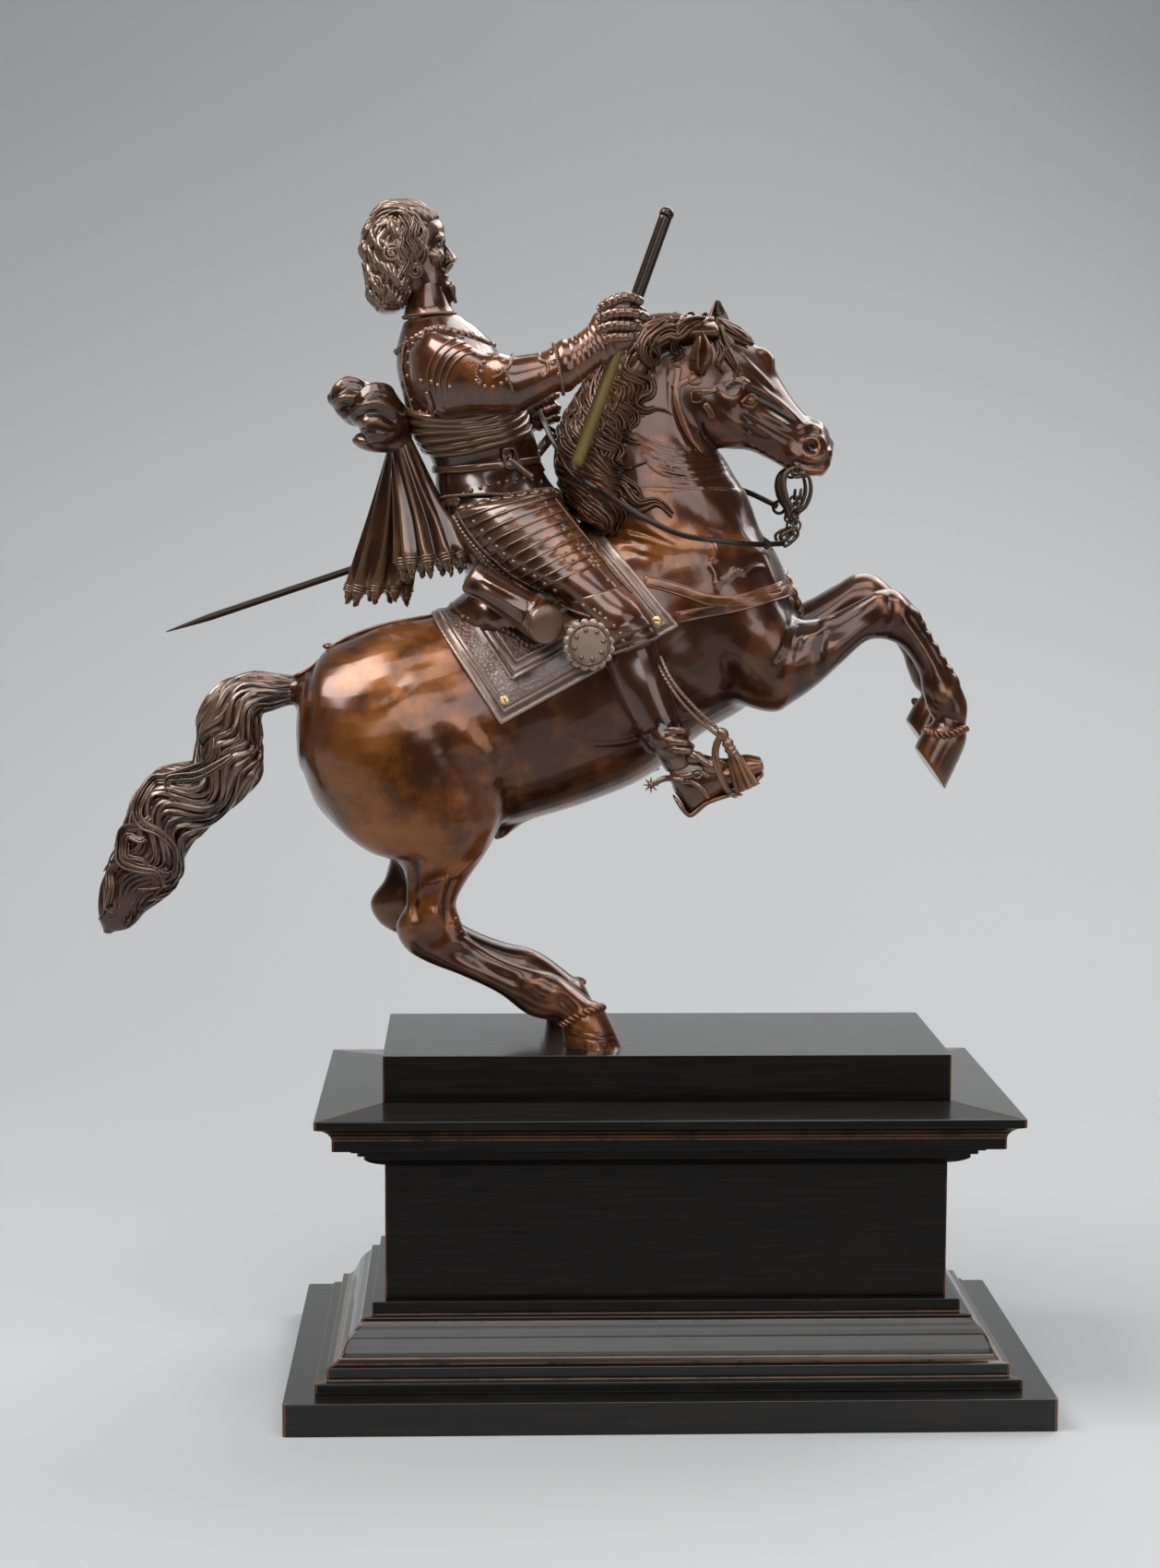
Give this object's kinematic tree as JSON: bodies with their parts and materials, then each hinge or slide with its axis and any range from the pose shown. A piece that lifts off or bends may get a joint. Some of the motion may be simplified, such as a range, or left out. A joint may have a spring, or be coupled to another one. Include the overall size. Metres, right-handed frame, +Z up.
{
  "type": "equestrian statuette",
  "caption": "Cast bronze statuette of an armoured rider with a baton on a rearing horse, on a stepped ebonised wood plinth.",
  "frame": {"origin": "centre of the plinth's underside", "axes": "+Z up, +X the way the horse faces, along the plinth's length, +Y towards the horse's left side"},
  "size_m": [0.4376, 0.1934, 0.5491],
  "materials": {
    "bronze": "reddish brown lacquer over cast bronze, glossy, worn golden on the high points",
    "armour_bronze": "darker brown patina over chased bronze, satin",
    "baton_brass": "dull olive brass",
    "dark_bronze": "blackened bronze with bright worn edges",
    "screw_brass": "bright brass",
    "ebonised_wood": "black stained and polished, fine grain, edges worn brown"
  },
  "bodies": {
    "root": {"plinth_base_board": "ebonised_wood", "plinth_base_moulding": "ebonised_wood", "plinth_die": "ebonised_wood", "plinth_cornice": "ebonised_wood", "plinth_top_block": "ebonised_wood", "horse": "bronze", "horse_tail": "bronze", "saddle": "armour_bronze", "rider": "armour_bronze", "baton": "baton_brass", "sword": "dark_bronze", "curb_bit": "dark_bronze", "rein_near": "dark_bronze", "rein_far": "dark_bronze", "stirrup_near": "armour_bronze", "stirrup_far": "armour_bronze", "saddlecloth_screw_1": "screw_brass", "saddlecloth_screw_2": "screw_brass", "saddlecloth_screw_3": "screw_brass", "saddlecloth_screw_4": "screw_brass"}
  },
  "joints": []
}
